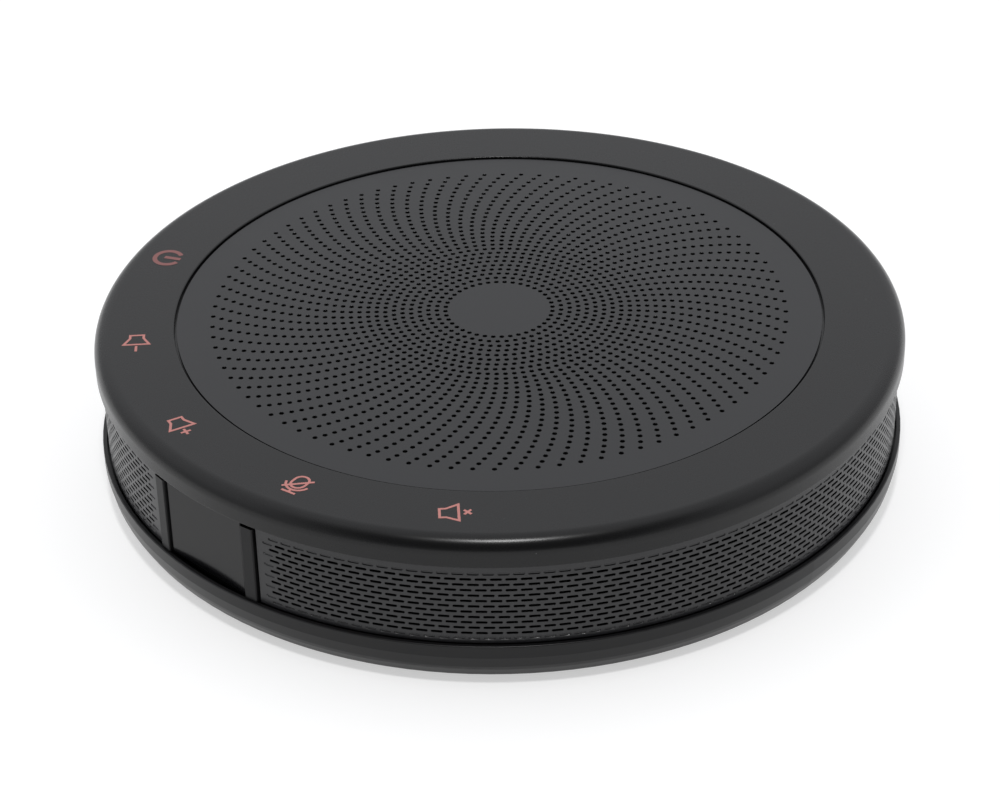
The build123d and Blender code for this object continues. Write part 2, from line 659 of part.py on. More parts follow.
parts["driver_basket"] = make_basket()
parts["driver_gasket"] = make_driver_gasket()
parts["magnet_yoke"] = turned(
    (0, YOKE_LOW_Z),
    (17.0, YOKE_LOW_Z),
    (17.0, 19.4),
    (20.0, 19.4),
    (20.0, 21.0),
    (17.0, 21.0),
    (17.0, GAP_TOP_Z),
    (13.6, GAP_TOP_Z),
    (13.6, YOKE_LOW_Z + 2.5),
    (0, YOKE_LOW_Z + 2.5),
)
parts["magnet"] = disc(11.4, YOKE_LOW_Z + 2.5, 20.0)
parts["pole_plate"] = disc(12.0, 20.0, GAP_TOP_Z)
parts["voice_coil"] = disc(13.1, 19.7, 23.7, FORMER_R + 0.03)
parts["coil_former"] = disc(FORMER_R, 19.4, 28.6, FORMER_R - 0.2)
parts["spider"] = make_spider()
parts["cone"] = turned((12.6, 28.0), (33.2, 34.5), (34.0, 34.5), (34.0, 35.0), (33.1, 35.0), (12.6, 28.5))
dome_centre_z = DUST_CAP_TOP_Z - DUST_CAP_DOME_R
dome = Sphere(DUST_CAP_DOME_R) - Sphere(DUST_CAP_DOME_R - 0.4)
parts["dust_cap"] = (Pos(0, 0, dome_centre_z) * dome) & block(40, 40, 29.1, DUST_CAP_TOP_Z + 1)
parts["surround"] = make_surround()
parts["terminal_tag"] = at(LEAD_ANGLE, 23.0) * block(5.0, 8.0, 19.2, 21.0)


# ---- Boards and what stands on them -----------------------------------------------------------

LEAD_DROP_R = 70.0
LEAD_SOCKET_HIGH_Z = 11.6
RIBBON_SOCKET_TALL = 2.4


def make_main_board():
    board = disc(BOARD_R, BOARD_LOW_Z, BOARD_TOP_Z)
    for angle in STANDOFF_ANGLES:
        board -= at(angle, STANDOFF_PITCH_R) * rod(1.3, BOARD_LOW_Z - 1, BOARD_TOP_Z + 1)
    return board


def make_socket_board():
    board = Pos(0, 83.5, 0) * block(42.0, 19.0, SOCKET_BOARD_LOW_Z, SOCKET_BOARD_HIGH_Z)
    for x, y in SOCKET_STANDOFFS:
        board -= Pos(x, y, 0) * rod(1.3, SOCKET_BOARD_LOW_Z - 1, SOCKET_BOARD_HIGH_Z + 1)
    return board


def make_usb_port():
    mouth_y = SOCKET_BACK_Y - 0.3
    shell = extrude(Plane.XZ * SlotOverall(9.0, 3.2), 7.4)
    shell -= extrude(Plane.XZ * SlotOverall(8.4, 2.6), 6.4)
    shell += Pos(0, -3.9, 0) * Box(6.7, 5.4, 0.7)
    return Pos(USB_X, mouth_y, USB_Z) * (Rot(0, 0, 180) * (Pos(0, 7.4, 0) * shell))


def make_audio_jack():
    nose_y = SOCKET_FACE_Y - 0.5
    body_front_y = SOCKET_BACK_Y - 0.3
    jack = Pos(0, body_front_y - 6, 0) * Box(6.4, 12.0, 5.0)
    jack += rod_along_y(3.0, body_front_y - 0.5, nose_y)
    jack -= rod_along_y(1.8, nose_y - 14, nose_y + 1)
    return Pos(JACK_X, 0, JACK_Z) * jack


def make_ribbon():
    """A flat flexible cable from the touch board down to the main board."""
    inner_r = 75.0
    shelf_z = 13.0
    outer_strip = Pos(RIBBON_R, 0, 0) * block(RIBBON_THICK, RIBBON_WIDTH, shelf_z, TOUCH_BOARD_LOW_Z)
    inner_low = BOARD_TOP_Z + RIBBON_SOCKET_TALL
    inner_strip = Pos(inner_r, 0, 0) * block(RIBBON_THICK, RIBBON_WIDTH, inner_low, shelf_z + RIBBON_THICK)
    span = RIBBON_R - inner_r + RIBBON_THICK
    flat = Pos((RIBBON_R + inner_r) / 2, 0, 0) * block(span, RIBBON_WIDTH, shelf_z, shelf_z + RIBBON_THICK)
    return Rot(0, 0, RIBBON_ANGLE) * (outer_strip + inner_strip + flat)


def make_lead():
    """The insulated pair from the loudspeaker's tag, out through the box wall, to the board."""
    start = (25.5, 0, LEAD_Z)
    corner = (LEAD_DROP_R, 0, LEAD_Z)
    end = (LEAD_DROP_R, 0, LEAD_SOCKET_HIGH_Z)
    path = FilletPolyline(start, corner, end, radius=3.5)
    section = Plane(origin=start, z_dir=(1, 0, 0)) * Circle(LEAD_R)
    return Rot(0, 0, LEAD_ANGLE) * sweep(section, path)


def on_board(x, y, width, depth, tall):
    return Pos(x, y, 0) * block(width, depth, BOARD_TOP_Z, BOARD_TOP_Z + tall)


parts["main_board"] = make_main_board()
parts["socket_board"] = make_socket_board()
parts["board_header"] = Pos(0, 75.5, 0) * block(14.0, 2.5, BOARD_TOP_Z, SOCKET_BOARD_LOW_Z)
parts["usb_port"] = make_usb_port()
parts["audio_jack"] = make_audio_jack()
parts["processor_chip"] = on_board(-20, -25, 14, 14, 1.4)
parts["amplifier_chip"] = on_board(25, -20, 7, 7, 1.0)
parts["shield_can"] = on_board(15, 25, 24, 18, 2.0)
parts["power_coils"] = group(on_board(x, -5, 6, 6, 2.1) for x in (30, 39))
parts["power_capacitors"] = group(
    at(angle, 69.0) * rod(3.2, BOARD_TOP_Z, BOARD_TOP_Z + 7.5) for angle in (282, 290)
)
ribbon_socket = block(3.0, 13.0, BOARD_TOP_Z, BOARD_TOP_Z + RIBBON_SOCKET_TALL)
parts["ribbon_socket"] = at(RIBBON_ANGLE, 75.0) * ribbon_socket
parts["lead_socket"] = at(LEAD_ANGLE, LEAD_DROP_R) * block(4.0, 5.0, BOARD_TOP_Z, LEAD_SOCKET_HIGH_Z)
parts["touch_ribbon"] = make_ribbon()
parts["speaker_lead"] = make_lead()
grommet = Rot(0, 90, 0) * (Cylinder(GROMMET_R - THREAD_GAP, 3.0) - Cylinder(LEAD_R + THREAD_GAP, 5.0))
parts["lead_grommet"] = at(LEAD_ANGLE, BOX_R - BOX_WALL / 2, LEAD_Z) * grommet


# ---- Screws --------------------------------------------------------------------------------------

PLATE_SCREW_R = 1.25
SMALL_HEAD = 1.4

case_head = (2.8, CASE_SCREW_SEAT_Z - 2.0, CASE_SCREW_SEAT_Z)
case_screw = screw(*case_head, CASE_SCREW_R, 23.0, head_up=False)
cap_head = (2.4, CHASSIS_LOW_Z - 1.6, CHASSIS_LOW_Z)
cap_screw = screw(*cap_head, CAP_SCREW_R, 37.4, head_up=False)
box_head = (2.4, BOX_TOP_Z - 3.6, BOX_TOP_Z - 2.0)
box_screw = screw(*box_head, PLATE_SCREW_R, 33.8, head_up=False)
driver_screw = screw(2.4, FLANGE_HIGH_Z, FLANGE_HIGH_Z + SMALL_HEAD, PLATE_SCREW_R, 29.5)
board_screw = screw(2.1, BOARD_TOP_Z, BOARD_TOP_Z + SMALL_HEAD, BOARD_SCREW_R, 4.4)
socket_head = (2.1, SOCKET_BOARD_HIGH_Z, SOCKET_BOARD_HIGH_Z + SMALL_HEAD)
socket_screw = screw(*socket_head, BOARD_SCREW_R, 10.0)

parts["case_screws"] = group(at(a, CASE_POST_PITCH_R) * case_screw for a in CASE_POST_ANGLES)
parts["cap_screws"] = group(at(a, CAP_BOSS_PITCH_R) * cap_screw for a in CAP_BOSS_ANGLES)
parts["box_screws"] = group(at(a, BOX_SCREW_PITCH_R) * box_screw for a in BOX_SCREW_ANGLES)
parts["driver_screws"] = group(at(a, DRIVER_SCREW_PITCH_R) * driver_screw for a in DRIVER_SCREW_ANGLES)
parts["board_screws"] = group(at(a, STANDOFF_PITCH_R) * board_screw for a in STANDOFF_ANGLES)
parts["socket_board_screws"] = group(Pos(x, y, 0) * socket_screw for x, y in SOCKET_STANDOFFS)


os.makedirs("parts", exist_ok=True)
for name, solid in parts.items():
    export_step(solid, f"parts/{name}.step")
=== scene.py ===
from math import acos, atan2, ceil, cos, degrees, floor, hypot, pi, radians, sin, tan

import bmesh
import bpy
from mathutils import Matrix, Vector
from mathutils.geometry import delaunay_2d_cdt


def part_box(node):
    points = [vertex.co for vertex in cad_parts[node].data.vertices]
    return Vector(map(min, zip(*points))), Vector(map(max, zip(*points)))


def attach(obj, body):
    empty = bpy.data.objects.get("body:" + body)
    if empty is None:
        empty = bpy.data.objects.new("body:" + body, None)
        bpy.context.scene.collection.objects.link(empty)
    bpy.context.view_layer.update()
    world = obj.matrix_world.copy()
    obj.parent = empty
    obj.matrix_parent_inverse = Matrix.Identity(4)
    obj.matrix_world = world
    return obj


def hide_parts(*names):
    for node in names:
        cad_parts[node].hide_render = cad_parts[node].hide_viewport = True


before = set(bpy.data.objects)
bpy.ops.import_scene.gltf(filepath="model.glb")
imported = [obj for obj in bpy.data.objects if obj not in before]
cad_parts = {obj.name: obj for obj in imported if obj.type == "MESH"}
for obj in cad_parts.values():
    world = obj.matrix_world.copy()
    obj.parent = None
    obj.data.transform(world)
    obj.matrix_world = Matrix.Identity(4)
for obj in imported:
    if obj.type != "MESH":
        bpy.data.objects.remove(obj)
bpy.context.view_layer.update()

# Lengths below are millimetres and become metres when a mesh is made.
MM = 0.001
CASE = "case"


# ---- What the frame says ---------------------------------------------------------------------

def lowest_highest(node):
    low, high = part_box(node)
    return [value / MM for value in low], [value / MM for value in high]


def node_points(node):
    return [vertex.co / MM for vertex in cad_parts[node].data.vertices]


def reach(node):
    """The largest distance of a node's points from the axis."""
    return max(hypot(point.x, point.y) for point in node_points(node))


CAP_R = reach("top_ring")
CAP_LOW = lowest_highest("top_ring")[0][2]
CAP_TOP = lowest_highest("top_ring")[1][2]
PLATE_R = reach("speaker_plate")
PLATE_UNDER = lowest_highest("speaker_plate")[0][2]
PLATE_TOP = lowest_highest("speaker_plate")[1][2]
BAND_R = reach("side_grille_right")
BAND_LOW = lowest_highest("side_grille_right")[0][2]
BAND_HIGH = lowest_highest("side_grille_right")[1][2]
BAND_INNER_R = min(hypot(point.x, point.y) for point in node_points("side_grille_right"))
BAND_ANGLES = [degrees(atan2(point.y, point.x)) for point in node_points("side_grille_right")]


# ---- Mesh helpers ----------------------------------------------------------------------------

def add_piece(name, mesh, materials, node=None, body=CASE):
    """Makes a piece of a mesh in millimetres. It rides on its body and may stand for a node."""
    piece = bpy.data.objects.new(name, mesh)
    bpy.context.scene.collection.objects.link(piece)
    mesh.transform(Matrix.Scale(MM, 4))
    for finish_used in materials:
        mesh.materials.append(finish_used)
    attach(piece, body)
    if node:
        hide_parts(node)
    return piece


def soften(mesh, sharp_angle=32.0):
    for face in mesh.polygons:
        face.use_smooth = True
    mesh.set_sharp_from_angle(angle=radians(sharp_angle))


SUPPORT = 0.03
ARC_STEP = radians(7)


def rounded(corners):
    """A closed outline from (x, y, radius) corners. Each round corner becomes an arc."""
    outline = []
    for index, (x, y, radius) in enumerate(corners):
        here = Vector((x, y))
        if not radius:
            outline.append(here)
            continue
        before = Vector(corners[index - 1][:2])
        after = Vector(corners[(index + 1) % len(corners)][:2])
        into = (here - before).normalized()
        out = (after - here).normalized()
        turn = atan2(into.x * out.y - into.y * out.x, into.dot(out))
        cut = radius * tan(abs(turn) / 2)
        side = 1 if turn > 0 else -1
        centre = here - into * cut + Vector((-into.y, into.x)) * radius * side
        spoke = (here - into * cut) - centre
        steps = max(3, ceil(abs(turn) / ARC_STEP))
        outline.append(here - into * (cut + SUPPORT))
        for step in range(steps + 1):
            angle = turn * step / steps
            outline.append(centre + Matrix.Rotation(angle, 2) @ spoke)
        outline.append(here + out * (cut + SUPPORT))
    return [(point[0], point[1]) for point in outline]


def lathe(outline, segments):
    """Faces of a closed (radius, height) outline turned about the axis, as (points, faces)."""
    points = []
    faces = []
    count = len(outline)
    for segment in range(segments):
        angle = 2 * pi * segment / segments
        points += [(r * cos(angle), r * sin(angle), z) for r, z in outline]
    for segment in range(segments):
        here = segment * count
        after = (segment + 1) % segments * count
        for index in range(count):
            other = (index + 1) % count
            faces.append((here + index, after + index, after + other, here + other))
    return points, faces


def make_mesh(name, points, faces):
    mesh = bpy.data.meshes.new(name)
    mesh.from_pydata(points, [], faces)
    mesh.validate()
    return mesh


def facing_out(mesh):
    """Turns all faces of a closed mesh outwards."""
    work = bmesh.new()
    work.from_mesh(mesh)
    bmesh.ops.recalc_face_normals(work, faces=work.faces)
    work.to_mesh(mesh)
    work.free()


def circle_hole(x, y, radius, count):
    """A round hole, as a function that gives its loop shrunk by an inset."""
    def loop(inset=0.0):
        spokes = [2 * pi * i / count for i in range(count)]
        return [(x + (radius - inset) * cos(a), y + (radius - inset) * sin(a)) for a in spokes]
    return loop


def slot_hole(x, y, length, height, end_steps=5):
    """A slot with round ends that lies along x, as a function of the inset."""
    def loop(inset=0.0):
        radius = height / 2 - inset
        half = (length - height) / 2
        points = []
        for side, first in ((1, -pi / 2), (-1, pi / 2)):
            for step in range(end_steps + 1):
                angle = first + pi * step / end_steps
                points.append((x + side * half + radius * cos(angle), y + radius * sin(angle)))
        return points
    return loop


BOWL_R = 0.16
BOWL_STEPS = 4
SHEET_SHARP_ANGLE = 40


def punched_sheet(name, rim, holes, pockets, place, facing, thick, edge):
    """A sheet with holes right through and shallow pockets. place(u, v, depth) gives a point.

    The faces of the walls of the holes take the second material, and the pockets the third."""
    flat = list(rim)
    owner = [-1] * len(rim)
    starts = []
    cutouts = holes + pockets
    for number, hole in enumerate(cutouts):
        loop = hole()
        starts.append(len(flat))
        flat += loop
        owner += [number] * len(loop)
    loops = [(0, len(rim), False)]
    loops += [(start, len(hole()), True) for start, hole in zip(starts, cutouts)]
    edges = []
    for start, count, _ in loops:
        edges += [(start + i, start + (i + 1) % count) for i in range(count)]
    result = delaunay_2d_cdt([Vector(point) for point in flat], edges, [], 0, 1e-7)
    source = [ids[0] for ids in result[3]]
    triangles = []
    for face in result[2]:
        corners = [source[index] for index in face]
        owners = {owner[corner] for corner in corners}
        if len(owners) == 1 and owners != {-1}:
            continue
        triangles.append(corners)
    points = [place(u, v, 0.0) for u, v in flat]
    faces = [tuple(triangle) for triangle in triangles]
    normals = [[facing(*flat[corner]) for corner in triangle] for triangle in triangles]
    back = len(points)
    inset_flat = list(flat)
    for start, hole in zip(starts, cutouts):
        loop = hole(edge)
        inset_flat[start:start + len(loop)] = loop
    points += [place(u, v, thick) for u, v in inset_flat]
    for triangle in triangles:
        faces.append(tuple(back + corner for corner in reversed(triangle)))
        normals.append([-facing(*flat[corner]) for corner in reversed(triangle)])

    kinds = [0] * len(faces)

    def wall(upper, lower, count, kind):
        for i in range(count):
            after = (i + 1) % count
            faces.append((upper + after, upper + i, lower + i, lower + after))
            normals.append([Vector((0, 0, 0))] * 4)
            kinds.append(kind)

    def ring(hole, inset, depth):
        first = len(points)
        points.extend(place(u, v, depth) for u, v in hole(inset))
        return first

    for i in range(len(rim)):
        after = (i + 1) % len(rim)
        faces.append((i, back + i, back + after, after))
        normals.append([Vector((0, 0, 0))] * 4)
        kinds.append(0)
    for number, (start, hole) in enumerate(zip(starts, cutouts)):
        count = len(hole())
        lip = ring(hole, edge, edge)
        wall(start, lip, count, 0)
        if number < len(holes):
            wall(lip, back + start, count, 1)
            continue
        upper = lip
        for step in range(1, BOWL_STEPS + 1):
            turn = pi / 2 * step / BOWL_STEPS
            lower = ring(hole, edge + BOWL_R * (1 - cos(turn)), edge + BOWL_R * sin(turn))
            wall(upper, lower, count, 2)
            upper = lower
        faces.append(tuple(upper + i for i in range(count)))
        normals.append([facing(u, v) for u, v in hole(edge + BOWL_R)])
        kinds.append(2)
        faces.append(tuple(back + start + i for i in reversed(range(count))))
        normals.append([-facing(u, v) for u, v in reversed(hole(edge))])
        kinds.append(0)
    mesh = bpy.data.meshes.new(name)
    mesh.from_pydata(points, [], faces)
    mesh.polygons.foreach_set("material_index", kinds)
    soften(mesh, SHEET_SHARP_ANGLE)
    mesh.normals_split_custom_set([normal for face in normals for normal in face])
    return mesh


# ---- Materials -------------------------------------------------------------------------------

BROAD_GRAINS = 60
DUST_PITCH = 7
DUST_EDGES = (0.018, 0.010)
COAT_ROUGHNESS = 0.12
WAVE_PITCH_SCALE = 0.314


def finish(name, colour, rough, grain=0.25, bump=0.02, spread=0.08, ior=1.45, mottle=0.15,
           metallic=0.0, coat=0.0, weave=None, specks=0.0):
    """A procedural finish. grain is the size of its grain and bump its depth, in millimetres."""
    material = bpy.data.materials.new(name)
    material.use_nodes = True
    nodes = material.node_tree.nodes
    link = material.node_tree.links.new
    shader = nodes["Principled BSDF"]
    shader.inputs["IOR"].default_value = ior
    shader.inputs["Metallic"].default_value = metallic
    shader.inputs["Coat Weight"].default_value = coat
    shader.inputs["Coat Roughness"].default_value = COAT_ROUGHNESS
    where = nodes.new("ShaderNodeTexCoord")
    fine = nodes.new("ShaderNodeTexNoise")
    fine.inputs["Scale"].default_value = 1 / (grain * MM)
    fine.inputs["Detail"].default_value = 3.0
    fine.inputs["Roughness"].default_value = 0.55
    link(where.outputs["Object"], fine.inputs["Vector"])
    broad = nodes.new("ShaderNodeTexNoise")
    broad.inputs["Scale"].default_value = 1 / (grain * BROAD_GRAINS * MM)
    broad.inputs["Detail"].default_value = 4.0
    link(where.outputs["Object"], broad.inputs["Vector"])
    shade = nodes.new("ShaderNodeValToRGB")
    shade.color_ramp.elements[0].position = 0.3
    shade.color_ramp.elements[1].position = 0.7
    shade.color_ramp.elements[0].color = (*[c * (1 - mottle) for c in colour], 1)
    shade.color_ramp.elements[1].color = (*[min(1, c * (1 + mottle)) for c in colour], 1)
    blend = nodes.new("ShaderNodeMix")
    blend.data_type = "FLOAT"
    blend.inputs[0].default_value = 0.5
    link(fine.outputs["Fac"], blend.inputs[2])
    link(broad.outputs["Fac"], blend.inputs[3])
    link(blend.outputs[0], shade.inputs["Fac"])
    colour_out = shade.outputs["Color"]
    if specks:
        dust = nodes.new("ShaderNodeTexVoronoi")
        dust.inputs["Scale"].default_value = 1 / (DUST_PITCH * MM)
        link(where.outputs["Object"], dust.inputs["Vector"])
        spot = nodes.new("ShaderNodeMapRange")
        spot.inputs["From Min"].default_value = DUST_EDGES[0]
        spot.inputs["From Max"].default_value = DUST_EDGES[1]
        link(dust.outputs["Distance"], spot.inputs["Value"])
        dusted = nodes.new("ShaderNodeMix")
        dusted.data_type = "RGBA"
        link(spot.outputs["Result"], dusted.inputs[0])
        link(colour_out, dusted.inputs[6])
        dusted.inputs[7].default_value = (specks, specks, specks, 1)
        colour_out = dusted.outputs[2]
    link(colour_out, shader.inputs["Base Color"])
    sheen = nodes.new("ShaderNodeMapRange")
    sheen.inputs["To Min"].default_value = rough - spread
    sheen.inputs["To Max"].default_value = rough + spread
    link(blend.outputs[0], sheen.inputs["Value"])
    link(sheen.outputs["Result"], shader.inputs["Roughness"])
    height = fine.outputs["Fac"]
    if weave:
        height = woven(nodes, link, where, weave)
    relief = nodes.new("ShaderNodeBump")
    relief.inputs["Strength"].default_value = 1.0
    relief.inputs["Distance"].default_value = bump * MM
    link(height, relief.inputs["Height"])
    link(relief.outputs["Normal"], shader.inputs["Normal"])
    return material


def woven(nodes, link, where, pitch):
    """Two crossed waves at a thread pitch, as a height."""
    threads = []
    for direction in ("X", "Z"):
        wave = nodes.new("ShaderNodeTexWave")
        wave.bands_direction = direction
        wave.inputs["Scale"].default_value = WAVE_PITCH_SCALE / (pitch * MM)
        wave.inputs["Distortion"].default_value = 0.6
        wave.inputs["Detail"].default_value = 1.0
        link(where.outputs["Object"], wave.inputs["Vector"])
        threads.append(wave.outputs["Fac"])
    crossed = nodes.new("ShaderNodeMath")
    crossed.operation = "MAXIMUM"
    link(threads[0], crossed.inputs[0])
    link(threads[1], crossed.inputs[1])
    return crossed.outputs[0]


case_plastic = finish("case_plastic", (0.0045, 0.0045, 0.0048), 0.27, grain=0.16, bump=0.004,
                      spread=0.05, ior=1.37, specks=0.12)
base_plastic = finish("base_plastic", (0.006, 0.006, 0.0065), 0.34, grain=0.16, bump=0.004,
                      spread=0.05, ior=1.35, specks=0.12)
frame_plastic = finish("frame_plastic", (0.006, 0.006, 0.0065), 0.40, grain=0.2, bump=0.005,
                       ior=1.29)
plate_paint = finish("plate_paint", (0.0075, 0.0078, 0.0092), 0.34, grain=0.12, bump=0.003,
                     ior=1.43, specks=0.1)
# Near-black finish. On the walls of the plate holes and band slots it is painted shade, so the
# holes read black as if in deep shade. The USB tongue and the audio jack wear it as their own black
# plastic.
hole_shade_and_black_plastic = finish("hole_shade_and_black_plastic", (0.003, 0.003, 0.003), 0.6, grain=0.1, bump=0.002, ior=1.2)
socket_nickel = finish("socket_nickel", (0.20, 0.20, 0.19), 0.36, grain=0.3, bump=0.003,
                       metallic=1.0)
band_paint = finish("band_paint", (0.015, 0.015, 0.0165), 0.34, grain=0.10, bump=0.003, ior=1.47)
slot_filler = finish("slot_filler", (0.008, 0.008, 0.009), 0.14, grain=0.10, bump=0.002,
                     spread=0.04)
cloth_finish = finish("acoustic_cloth", (0.003, 0.003, 0.003), 0.9, grain=0.2, bump=0.08, weave=0.3)
badge_gloss = finish("badge_gloss", (0.004, 0.004, 0.0045), 0.18, grain=0.8, bump=0.0005,
                     spread=0.03, ior=1.31)
panel_plastic = finish("panel_plastic", (0.006, 0.006, 0.0065), 0.38, grain=0.2, bump=0.008)
rubber = finish("foot_rubber", (0.012, 0.012, 0.012), 0.75, grain=0.35, bump=0.02)
icon_print = finish("icon_print", (0.47, 0.185, 0.165), 0.55, grain=0.15, bump=0.003, mottle=0.08)
icon_dim = finish("icon_dim", (0.22, 0.085, 0.08), 0.55, grain=0.15, bump=0.003, mottle=0.08)


# ---- Cap -------------------------------------------------------------------------------------

CAP_FILLET = 3.8
OPENING_R = 80.2
LEDGE_R = 77.0
LEDGE_THICK = 1.7
CAP_WALL = 2.4
CAP_LEDGE_WALL = 1.8
CAP_CEILING_DEPTH = 2.0
CAP_LOW_EDGE = 0.25
OPENING_EDGE = 0.35
SKIRT_EDGE = 0.1
SKIRT_R = BAND_R + 0.3
SKIRT_TOP = BAND_HIGH + 0.4
TURNED_SEGMENTS = 480


def make_cap():
    ledge_low = PLATE_UNDER - LEDGE_THICK
    ceiling = CAP_TOP - CAP_CEILING_DEPTH
    outline = rounded([
        (CAP_R, CAP_LOW, CAP_LOW_EDGE),
        (CAP_R, CAP_TOP, CAP_FILLET),
        (OPENING_R, CAP_TOP, OPENING_EDGE),
        (OPENING_R, PLATE_UNDER, 0),
        (LEDGE_R, PLATE_UNDER, 0),
        (LEDGE_R, ledge_low, 0),
        (OPENING_R + CAP_LEDGE_WALL, ledge_low, 0),
        (OPENING_R + CAP_LEDGE_WALL, ceiling, 0),
        (CAP_R - CAP_WALL, ceiling, 0),
        (CAP_R - CAP_WALL, SKIRT_TOP, 0),
        (SKIRT_R, SKIRT_TOP, 0),
        (SKIRT_R, CAP_LOW, SKIRT_EDGE),
    ])
    mesh = make_mesh("cap_ring", *lathe(outline, TURNED_SEGMENTS))
    facing_out(mesh)
    soften(mesh)
    return add_piece("cap_ring", mesh, [case_plastic], "top_ring")


# ---- Speaker plate ---------------------------------------------------------------------------

HOLE_R = 0.58
HOLE_RING_FIRST_R = 13.28
HOLE_RING_PITCH = 2.13
HOLE_COUNTS_INNER = [40, 45, 52, 58, 64, 71, 77, 83]
HOLE_COUNT_OUTER = 90
HOLE_RING_COUNT = 28
HOLE_START_ANGLE = 64.65
SWIRL_START_R = 32.3
SWIRL_ARC_R = 54.7
HOLE_EDGE = 0.07
HOLE_SEGMENTS = 18
PLATE_SEGMENTS = 360


def swirl_angle(radius):
    """How far the arm of holes has turned at a radius."""
    far = max(radius, SWIRL_START_R)
    centre_r = hypot(SWIRL_START_R, SWIRL_ARC_R)
    cosine = (far**2 + centre_r**2 - SWIRL_ARC_R**2) / (2 * far * centre_r)
    return degrees(acos(cosine) - atan2(SWIRL_ARC_R, SWIRL_START_R))


def plate_holes():
    holes = []
    for ring in range(HOLE_RING_COUNT):
        radius = HOLE_RING_FIRST_R + ring * HOLE_RING_PITCH
        inner = ring < len(HOLE_COUNTS_INNER)
        count = HOLE_COUNTS_INNER[ring] if inner else HOLE_COUNT_OUTER
        start = HOLE_START_ANGLE + swirl_angle(radius)
        for index in range(count):
            angle = radians(start + 360 * index / count)
            x, y = radius * cos(angle), radius * sin(angle)
            holes.append(circle_hole(x, y, HOLE_R + HOLE_EDGE, HOLE_SEGMENTS))
    return holes


def make_plate():
    rim = circle_hole(0, 0, PLATE_R, PLATE_SEGMENTS)()
    up = Vector((0, 0, 1))
    mesh = punched_sheet("perforated_plate", rim, plate_holes(), [],
                         lambda u, v, depth: (u, v, PLATE_TOP - depth), lambda u, v: up,
                         PLATE_TOP - PLATE_UNDER, HOLE_EDGE)
    # The walls of the holes take the near-black finish as painted shade.
    finishes = [plate_paint, hole_shade_and_black_plastic]
    return add_piece("perforated_plate", mesh, finishes, "speaker_plate")


# ---- Side bands ------------------------------------------------------------------------------

SLOT_LENGTH = 2.78
SLOT_HEIGHT = 0.72
SLOT_ROWS = 13
SLOT_ROW_PITCH = 1.474
SLOT_TOP_BELOW_BAND = 3.2
SLOT_PITCH_ANGLE = 360 / 183.5
SLOT_ANCHOR_ANGLE = -29.13
SLOT_MARGIN_ANGLE = 1.5
BLOCKED_BY_POST_ANGLE = 2.2
BAND_STEP = 1.7
SLOT_EDGE = 0.06


def band_slots(start, end, side):
    """Open slots and blocked ones. side is 1 for the right band and -1 for the left one."""
    opened = []
    blocked = []
    for row in range(SLOT_ROWS):
        z = BAND_HIGH - SLOT_TOP_BELOW_BAND - row * SLOT_ROW_PITCH
        phase = SLOT_ANCHOR_ANGLE + (0 if row % 2 else SLOT_PITCH_ANGLE / 2)
        first = ceil((start + SLOT_MARGIN_ANGLE - phase) / SLOT_PITCH_ANGLE)
        last = floor((end - SLOT_MARGIN_ANGLE - phase) / SLOT_PITCH_ANGLE)
        for column in range(first, last + 1):
            angle = phase + column * SLOT_PITCH_ANGLE
            around = angle if side > 0 else 180 - angle
            slot = slot_hole(BAND_R * radians(around), z, SLOT_LENGTH, SLOT_HEIGHT)
            by_post = min(angle - start, end - angle) < BLOCKED_BY_POST_ANGLE
            if row in (0, SLOT_ROWS - 1) or by_post:
                blocked.append(slot)
            else:
                opened.append(slot)
    return opened, blocked


def make_band(name, node, side):
    start, end = min(BAND_ANGLES), max(BAND_ANGLES)
    opened, blocked = band_slots(start, end, side)
    low, high = (start, end) if side > 0 else (180 - end, 180 - start)
    low, high = BAND_R * radians(low), BAND_R * radians(high)
    steps = ceil((high - low) / BAND_STEP)
    along = [low + (high - low) * i / steps for i in range(steps + 1)]
    rim = [(u, BAND_LOW) for u in along] + [(u, BAND_HIGH) for u in reversed(along)]

    def place(u, v, depth):
        return ((BAND_R - depth) * cos(u / BAND_R), (BAND_R - depth) * sin(u / BAND_R), v)

    def facing(u, v):
        return Vector((cos(u / BAND_R), sin(u / BAND_R), 0))

    thick = BAND_R - BAND_INNER_R
    mesh = punched_sheet(name, rim, opened, blocked, place, facing, thick, SLOT_EDGE)
    # The walls of the open slots take the near-black finish as painted shade.
    return add_piece(name, mesh, [band_paint, hole_shade_and_black_plastic, slot_filler], node)


# ---- Rear socket -----------------------------------------------------------------------------

USB_WALL = 0.3
USB_BACK = 1.0
USB_TONGUE = (6.7, 5.0, 0.7)


